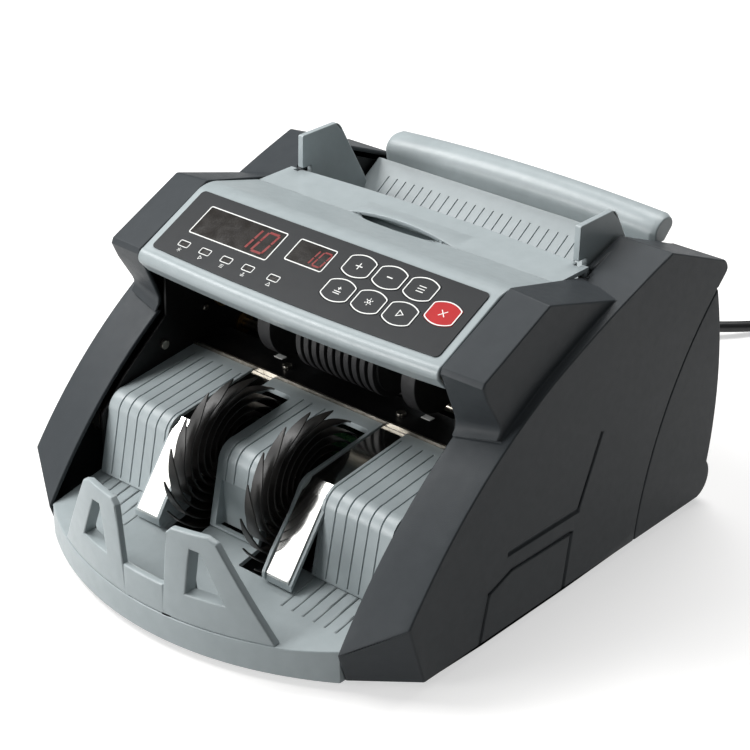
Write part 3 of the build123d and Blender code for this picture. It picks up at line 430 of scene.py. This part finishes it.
def join_rings(work, rings, closed=False):
    """Skin over rings of equal length, in a loop or else with a cap on each end."""
    spans = list(zip(rings, rings[1:]))
    if closed:
        spans.append((rings[-1], rings[0]))
    for here, there in spans:
        for corner in range(len(here)):
            following = (corner + 1) % len(here)
            work.faces.new((here[corner], here[following], there[following], there[corner]))
    if not closed:
        work.faces.new(rings[0])
        work.faces.new(rings[-1])


def round_edges(piece, width, segments=2, angle=30.0):
    bevel = piece.modifiers.new("edges", "BEVEL")
    bevel.width, bevel.segments, bevel.limit_method = width * MM, segments, "ANGLE"
    bevel.angle_limit, bevel.use_clamp_overlap, bevel.miter_outer = radians(angle), False, "MITER_SHARP"
    weighted = piece.modifiers.new("normals", "WEIGHTED_NORMAL")
    weighted.keep_sharp, weighted.weight = True, 60


def clean_copy(node):
    """The node's mesh as a bmesh, with its seams joined and its slivers taken out."""
    source = frame["nodes"][node].data
    work = bmesh.new()
    places = [work.verts.new(vertex.co) for vertex in source.vertices]
    for polygon in source.polygons:
        corners = [places[index] for index in polygon.vertices]
        if len(set(corners)) == len(corners) and not work.faces.get(corners):
            work.faces.new(corners)
    bmesh.ops.remove_doubles(work, verts=work.verts, dist=0.00002)
    bmesh.ops.dissolve_degenerate(work, edges=work.edges, dist=0.00002)
    return work


def soften(node, width, shape=None, cuts=()):
    """Rounded-edge copy of a CAD node that stands for it; shape may move its points a little."""
    work = clean_copy(node)
    for x in cuts:
        geometry = work.verts[:] + work.edges[:] + work.faces[:]
        bmesh.ops.bisect_plane(work, geom=geometry, plane_co=(x * MM, 0, 0), plane_no=(1, 0, 0))
    if shape:
        for vertex in work.verts:
            vertex.co = Vector(shape(*(vertex.co / MM))) * MM
    piece = mesh_object(node + "_skin", work)
    finish_piece(piece, NODE_BODY[node], NODE_SLOT[node], replaced=(node,))
    round_edges(piece, width)
    return piece


# ---- cord -------------------------------------------------------------------------------------------
def coil_points():
    """Control points of the coil: turns lie side by side, then back over themselves one layer up."""
    points = []
    swell = 1 / (0.75 + 0.25 * cos(2 * pi / COIL_STEP))
    for step in range(int(COIL_TURNS * COIL_STEP) + 1):
        turn, part = divmod(step, COIL_STEP)
        shift = max(0.0, (part / COIL_STEP - 0.72) / 0.28)
        following = min(turn + 1, len(COIL_RADII) - 1)
        radius = COIL_RADII[turn] + (COIL_RADII[following] - COIL_RADII[turn]) * shift
        climb = shift if turn == 2 else float(turn > 2)
        angle = pi - 2 * pi * step / COIL_STEP
        points.append((COIL_CENTRE[0] + radius * swell * cos(angle),
                       COIL_CENTRE[1] + radius * swell * sin(angle), CORD_D / 2 + 0.1 + CORD_D * climb))
    return points


def nurbs(name, points, bevel):
    curve = bpy.data.curves.new(name, "CURVE")
    curve.dimensions, curve.bevel_depth, curve.bevel_resolution = "3D", bevel, 6
    spline = curve.splines.new("NURBS")
    spline.points.add(len(points) - 1)
    for point, (x, y, z) in zip(spline.points, points):
        point.co = (x * MM, y * MM, z * MM, 1.0)
    spline.order_u = 3
    spline.use_endpoint_u = True
    spline.resolution_u = 8
    curve.use_fill_caps = True
    return add_object(name, curve)


def add_cord():
    cord = nurbs("mains_lead", ROUTE + coil_points() + TAIL, CORD_D / 2 * MM)
    finish_piece(cord, "machine", "cord_pvc", replaced=("power_cord", "cord_coil"))


# ---- console ----------------------------------------------------------------------------------------
def on_console(x, s, lift):
    """Point on the console face: x across, s up the slope, lift over it."""
    y = CONSOLE_FOOT[0] + s * cos(radians(TILT)) - lift * sin(radians(TILT))
    z = CONSOLE_FOOT[1] + s * sin(radians(TILT)) + lift * cos(radians(TILT))
    return Vector((x, y, z)) * MM


def add_stroke(work, points, width, low, high, closed=True):
    """Flat printed line with mitred corners, as a thin closed solid."""
    count = len(points)
    sections = []
    for index, (x, s) in enumerate(points):
        before = points[index - 1] if closed or index else points[index]
        after = points[(index + 1) % count] if closed or index < count - 1 else points[index]
        ahead = Vector((after[0] - before[0], after[1] - before[1])).normalized()
        side = Vector((-ahead.y, ahead.x))
        first = Vector((x - before[0], s - before[1]))
        stretch = 1.0
        if first.length > 0 and (closed or 0 < index < count - 1):
            stretch = 1 / max(0.5, abs(side.dot(Vector((-first.y, first.x)).normalized())))
        out = side * width / 2 * stretch
        sections.append([work.verts.new(on_console(x + sign * out.x, s + sign * out.y, lift))
                         for sign, lift in ((1, low), (-1, low), (-1, high), (1, high))])
    join_rings(work, sections, closed)


def rounded_box(x0, x1, s0, s1, radius, steps=5):
    """Outline of a rectangle with round corners."""
    points = []
    corners = ((x1 - radius, s1 - radius, 0), (x0 + radius, s1 - radius, 90),
               (x0 + radius, s0 + radius, 180), (x1 - radius, s0 + radius, 270))
    for x, s, start in corners:
        for step in range(steps + 1):
            angle = radians(start + 90 * step / steps)
            points.append((x + radius * cos(angle), s + radius * sin(angle)))
    return points


def barrel(column, row, inset, steps=12):
    """Key outline: straight sides, arched top and bottom, softened corners."""
    half, side, rise = KEY_HALF - inset, KEY_SIDE - 0.4 * inset, KEY_BULGE - 0.3 * inset
    across = [1 - 2 * n / steps for n in range(steps + 1)]
    arch = [(half * part, side + rise * (1 - part ** 2)) for part in across]
    arch[0], arch[-1] = (half - 0.35, side + 0.15), (-half + 0.35, side + 0.15)
    upper = [(half, side - 0.6)] + arch + [(-half, side - 0.6)]
    return [(column + x, row + s) for x, s in upper] + [(column - x, row - s) for x, s in upper]


def circle(x, s, radius, steps=16):
    angles = [2 * pi * n / steps for n in range(steps)]
    return [(x + radius * cos(angle), s + radius * sin(angle)) for angle in angles]


def dash(x, s, size):
    """Level open stroke, twice size long."""
    return ([(x - size, s), (x + size, s)], False)


def symbol_plus(x, s, size):
    return [dash(x, s, size), ([(x, s - size), (x, s + size)], False)]


def symbol_minus(x, s, size):
    return [dash(x, s, size)]


def symbol_sheaf(x, s, size):
    """A sheaf of sheets: three short bars, one over another."""
    return [dash(x, s + step * size * 0.75, size) for step in (-1, 0, 1)]


def symbol_stack_up(x, s, size):
    """Two bars with a small cross over them."""
    bars = [dash(x, s - size * drop, size) for drop in (0.35, 0.95)]
    return bars + symbol_plus(x, s + size * 0.6, size * 0.5)


def symbol_lamp(x, s, size):
    """A small lamp with rays."""
    rays = []
    for n in range(6):
        angle = radians(60 * n + 30)
        rays.append(([(x + size * 0.75 * cos(angle), s + size * 0.75 * sin(angle)),
                      (x + size * 1.15 * cos(angle), s + size * 1.15 * sin(angle))], False))
    return [(circle(x, s, size * 0.42), True)] + rays


def symbol_start(x, s, size):
    return [([(x - size * 0.7, s - size), (x + size * 0.95, s), (x - size * 0.7, s + size)], True)]


def symbol_cross(x, s, size):
    return [([(x - size, s - side * size), (x + size, s + side * size)], False) for side in (1, -1)]


def symbol_warning(x, s, size):
    return [([(x - size, s - size * 0.8), (x + size, s - size * 0.8), (x, s + size)], True)]


KEY_SYMBOLS = {
    "key_plus": (symbol_plus, 2.1), "key_minus": (symbol_minus, 1.8), "key_batch": (symbol_sheaf, 2.2),
    "key_add": (symbol_stack_up, 2.1), "key_lamp": (symbol_lamp, 2.0), "key_start": (symbol_start, 1.9),
    "key_clear": (symbol_cross, 1.8),
}
LAMP_SYMBOLS = (symbol_lamp, symbol_start, symbol_sheaf, symbol_stack_up, symbol_warning)


def add_print():
    """Outlines and symbols printed on the keypad overlay."""
    work = bmesh.new()
    low, high = OVERLAY_TOP - SUNK, OVERLAY_TOP + INK_HEIGHT
    for x0, x1, s0, s1 in (COUNT_WINDOW, BATCH_WINDOW):
        outline = rounded_box(x0 - WINDOW_LINE, x1 + WINDOW_LINE, s0 - WINDOW_LINE, s1 + WINDOW_LINE, 1.0)
        add_stroke(work, outline, INK_WIDTH, low, high)
    for x, symbol in zip(LAMP_X, LAMP_SYMBOLS):
        half_x, half_s = LAMP_HALF
        outline = rounded_box(x - half_x, x + half_x, LAMP_ROW - half_s, LAMP_ROW + half_s, 0.7)
        add_stroke(work, outline, SYMBOL_LINE, low, high)
        for points, closed in symbol(x, LAMP_ROW - LAMP_SYMBOL[0], LAMP_SYMBOL[1]):
            add_stroke(work, points, FINE_LINE, low, high, closed)
    finish_piece(mesh_object("overlay_print", work, smooth=False), "machine", "sensor_white")


def add_key_print(node, column, row):
    """White outline and symbol on one key."""
    work = bmesh.new()
    low, high = KEY_TOP - SUNK, KEY_TOP + INK_HEIGHT
    add_stroke(work, barrel(column, row, inset=0.45), INK_WIDTH, low, high)
    symbol, size = KEY_SYMBOLS[node]
    width = SIGN_LINE if node in ("key_plus", "key_minus") else SYMBOL_LINE
    for points, closed in symbol(column, row, size):
        add_stroke(work, points, width, low, high, closed)
    finish_piece(mesh_object(node + "_print", work, smooth=False), NODE_BODY[node], "sensor_white")


SEGMENTS = {"0": "abcdef", "1": "bc"}
DIGITS = (("1", -48.0, 26.0, 13.6), ("0", -36.4, 26.0, 13.6), ("1", -7.2, 28.2, 9.6), ("0", 0.6, 28.2, 9.6))


def add_digit(work, character, x, s, height):
    """Seven-segment digit, leaning to the right."""
    half_w, half_h = height * DIGIT_HALF, height / 2
    corners = {"a": ((-1, 1), (1, 1)), "b": ((1, 1), (1, 0)), "c": ((1, 0), (1, -1)),
               "d": ((1, -1), (-1, -1)), "e": ((-1, -1), (-1, 0)), "f": ((-1, 0), (-1, 1))}
    for segment in SEGMENTS[character]:
        (ax, ay), (bx, by) = corners[segment]
        start, end = Vector((ax * half_w, ay * half_h)), Vector((bx * half_w, by * half_h))
        along = (end - start).normalized() * DIGIT_GAP
        start, end = start + along, end - along
        points = [(x + p.x + p.y * DIGIT_LEAN, s + p.y) for p in (start, end)]
        add_stroke(work, points, height * DIGIT_LINE, LENS_TOP - SUNK, LENS_TOP + DIGIT_RISE, closed=False)


def add_digits():
    """Lit figures of both displays: character, x, place up the slope and height."""
    work = bmesh.new()
    for digit in DIGITS:
        add_digit(work, *digit)
    finish_piece(mesh_object("lit_digits", work, smooth=False), "machine", "key_red", material=lit_red())


def bowed_console(x, y, z):
    """The console's nose stands further down the slope in mid-width."""
    weight = min(1.0, max(0.0, (-40.0 - y) / 6.0))
    shift = CONSOLE_BOW * weight * (1 - (x / 101.0) ** 2)
    return (x, y - shift * cos(radians(TILT)), z - shift * sin(radians(TILT)))


# ---- stacker wheels -------------------------------------------------------------------------------
def vane_sections():
    """Middle-line points, run along the vane and thickness from hub to tip."""
    steps, reach = 36, WHEEL_R - HUB_R + 2
    sections, run, before = [], 0.0, None
    for n in range(steps + 1):
        t = n / steps
        radius = HUB_R - 2 + reach * t
        angle = radians(VANE_WRAP * (1 - t))
        here = Vector((radius * cos(angle), radius * sin(angle)))
        run += (here - before).length if before else 0.0
        before = here
        sections.append((here, run, VANE_T * (1 - 0.25 * t)))
    return sections


def add_vane(work, wheel_x, tip_angle):
    """Curved blade that narrows to a leaf point; its left half ends well short of the tip."""
    sections = vane_sections()
    total = sections[-1][1]
    turn = Matrix.Rotation(radians(tip_angle), 2)
    rings = []
    for place, run, thick in sections:
        left_over = total - run
        narrowing = max(0.0, 1 - left_over / TIP_LENGTH)
        shoulder = min(1.0, max(0.0, 1 - (left_over - SHOULDER_REACH) / SHOULDER_RUN))
        low = -WHEEL_HALF + (WHEEL_HALF + STUB_X - STUB_LEAN * (1 - narrowing)) * shoulder
        high = WHEEL_HALF - (WHEEL_HALF - POINT_X) * narrowing ** POINT_CURVE
        cup = 0.5 * narrowing
        inward = place.normalized()
        corners = ((low, 0.0), ((low + high) / 2, -cup * 0.5), (high, 0.0),
                   (high, thick), ((low + high) / 2, thick - cup * 0.5), (low, thick * 0.6))
        ring = []
        for x, depth in corners:
            y, z = turn @ (place - inward * depth) + Vector(STACKER)
            ring.append(work.verts.new(Vector((wheel_x + x, y, z)) * MM))
        rings.append(ring)
    join_rings(work, rings)


def add_drum(work, wheel_x, half, radius, steps=64):
    spin = Matrix.Translation(Vector((wheel_x, *STACKER)) * MM) @ Matrix.Rotation(pi / 2, 4, "Y")
    bmesh.ops.create_cone(work, cap_ends=True, segments=steps, radius1=radius * MM, radius2=radius * MM,
                          depth=2 * half * MM, matrix=spin)


def add_wheel(node, wheel_x):
    work = bmesh.new()
    for n in range(VANES):
        add_vane(work, wheel_x, VANE_PHASE + 360 / VANES * n)
    add_drum(work, wheel_x, WHEEL_HALF, HUB_R - 0.4)
    piece = mesh_object(node + "_skin", work)
    finish_piece(piece, "stacker", "vane_rubber", replaced=(node,))
    round_edges(piece, 0.14, 2, 40.0)


# ---- hopper bar -----------------------------------------------------------------------------------
BAR_HALF, BAR_BOW, BAR_FOOT_Z, BAR_TOP_Z = 93.0, 3.2, 141.0, 158.6
BAR_CENTRE, BAR_END, BAR_END_GROW = (140.5, 148.5), 3.2, 0.8
BAR_FOOT = [(131.8, 141.4), (131.8, 139.7), (141.6, 139.7)]
BAR_BACK_ARC = ((149.6, 148.6), (149.0, 155.2), (143.2, 158.4))
BAR_FRONT_ARC = ((142.6, 158.5), (134.4, 154.9), (131.2, 146.6))


def arc_points(first, middle, last, steps=8):
    """Points of the circle arc through three (y, z) points."""
    (ax, ay), (bx, by), (cx, cy) = first, middle, last
    d = 2 * (ax * (by - cy) + bx * (cy - ay) + cx * (ay - by))
    squares = [px * px + py * py for px, py in (first, middle, last)]
    ux = (squares[0] * (by - cy) + squares[1] * (cy - ay) + squares[2] * (ay - by)) / d
    uy = (squares[0] * (cx - bx) + squares[1] * (ax - cx) + squares[2] * (bx - ax)) / d
    start, end = atan2(ay - uy, ax - ux), atan2(cy - uy, cx - ux)
    via = atan2(by - uy, bx - ux)
    if (via - start) % (2 * pi) < (end - start) % (2 * pi):
        sweep = (end - start) % (2 * pi)
    else:
        sweep = -((start - end) % (2 * pi))
    radius = hypot(ax - ux, ay - uy)
    return [(ux + radius * cos(start + sweep * n / steps), uy + radius * sin(start + sweep * n / steps))
            for n in range(steps + 1)]


def add_bar():
    """Bar with a round back, a soft front, a top that rises to mid-width, and ends that draw in."""
    profile = BAR_FOOT + arc_points(*BAR_BACK_ARC) + arc_points(*BAR_FRONT_ARC)[1:]
    middle = [-BAR_HALF + BAR_END, *range(-80, 81, 10), BAR_HALF - BAR_END]
    places = [(-BAR_HALF, BAR_END_GROW)] + [(x, 1.0) for x in middle] + [(BAR_HALF, BAR_END_GROW)]
    work = bmesh.new()
    rings = []
    for x, grow in places:
        drop = BAR_BOW * (x / BAR_HALF) ** 2
        ring = []
        for y, z in profile:
            z -= drop * max(0.0, (z - BAR_FOOT_Z) / (BAR_TOP_Z - BAR_FOOT_Z))
            y = BAR_CENTRE[0] + (y - BAR_CENTRE[0]) * grow
            z = BAR_CENTRE[1] + (z - BAR_CENTRE[1]) * grow
            ring.append(work.verts.new(Vector((x, y, z)) * MM))
        rings.append(ring)
    join_rings(work, rings)
    piece = mesh_object("hopper_bar_skin", work)
    finish_piece(piece, "machine", "light_plastic", replaced=("hopper_bar",))
    round_edges(piece, 0.6, 3, 28.0)


# ---- finger recess --------------------------------------------------------------------------------
DISH_X, DISH_Y, DISH_Z = 29.5, (34.5, 45.5), 151.2     # half width, depth from front to back, lowest height
DISH_LOW_Y, DISH_REACH, DISH_T = 39.5, 6.0, 0.5        # y of the lowest line, reach of its slopes, thickness
DISH_END_RISE, DISH_SIDE_RISE = 0.9, 0.7


def add_dish():
    """Smooth bowl under the feed cover's arched lip."""
    columns, rows = 25, 9
    work = bmesh.new()
    layers = []
    for drop in (0.0, DISH_T):
        layer = []
        for i in range(columns):
            x = DISH_X * (2 * i / (columns - 1) - 1)
            for j in range(rows):
                y = DISH_Y[0] + (DISH_Y[1] - DISH_Y[0]) * j / (rows - 1)
                z = DISH_Z + DISH_END_RISE * (x / DISH_X) ** 4 - drop
                z += DISH_SIDE_RISE * ((y - DISH_LOW_Y) / DISH_REACH) ** 2
                layer.append(work.verts.new(Vector((x, y, z)) * MM))
        layers.append(layer)
    top, low = layers
    for i in range(columns - 1):
        for j in range(rows - 1):
            a, b, c, d = i * rows + j, (i + 1) * rows + j, (i + 1) * rows + j + 1, i * rows + j + 1
            work.faces.new((top[a], top[b], top[c], top[d]))
            work.faces.new((low[d], low[c], low[b], low[a]))
    rim = [i * rows for i in range(columns)] + [(columns - 1) * rows + j for j in range(1, rows)]
    rim += [i * rows + rows - 1 for i in range(columns - 2, -1, -1)] + list(range(rows - 2, 0, -1))
    for a, b in zip(rim, rim[1:] + rim[:1]):
        work.faces.new((top[b], top[a], low[a], low[b]))
    finish_piece(mesh_object("recess_bowl", work), "machine", "light_plastic")


# ---- softened CAD nodes -----------------------------------------------------------------------------
SOFT_EDGES = {
    "left_side_cover": 0.9, "right_side_cover": 0.9, "rear_cover": 0.8, "stacker_tray": 0.22,
    "note_stop": 0.9, "front_base": 0.7, "hopper_guide_left": 0.7,
    "hopper_guide_right": 0.7, "feed_cover": 0.45, "gap_knob": 0.3, "power_inlet": 0.35,
    "power_switch": 0.4, "feed_roller": 0.35, "feed_side_rollers": 0.5, "pickup_rollers": 0.5,
    "pinch_rollers": 0.4, "screws_and_pins": 0.25, "hopper_front_wall": 0.2, "path_plate": 0.2,
    "rubber_feet": 0.6, "keypad_overlay": 0.12, "display_lenses": 0.1,
}


def add_softened():
    for node, width in SOFT_EDGES.items():
        soften(node, width)
    soften("console_panel", 0.8, cuts=range(-90, 91, 10), shape=bowed_console)
    for node in KEYS:
        soften(node, 0.25)


def main():
    add_camera()
    dress_nodes()
    connector = soften("cord_connector", 0.8)
    plug = soften("mains_plug", 0.8)
    add_cord()
    add_softened()
    for node, x in (("stacker_wheel_left", -WHEEL_X), ("stacker_wheel_right", WHEEL_X)):
        add_wheel(node, x)
    add_bar()
    add_dish()
    add_print()
    for node, place in KEYS.items():
        add_key_print(node, *place)
    add_digits()
    add_lights()
    add_floor()


main()
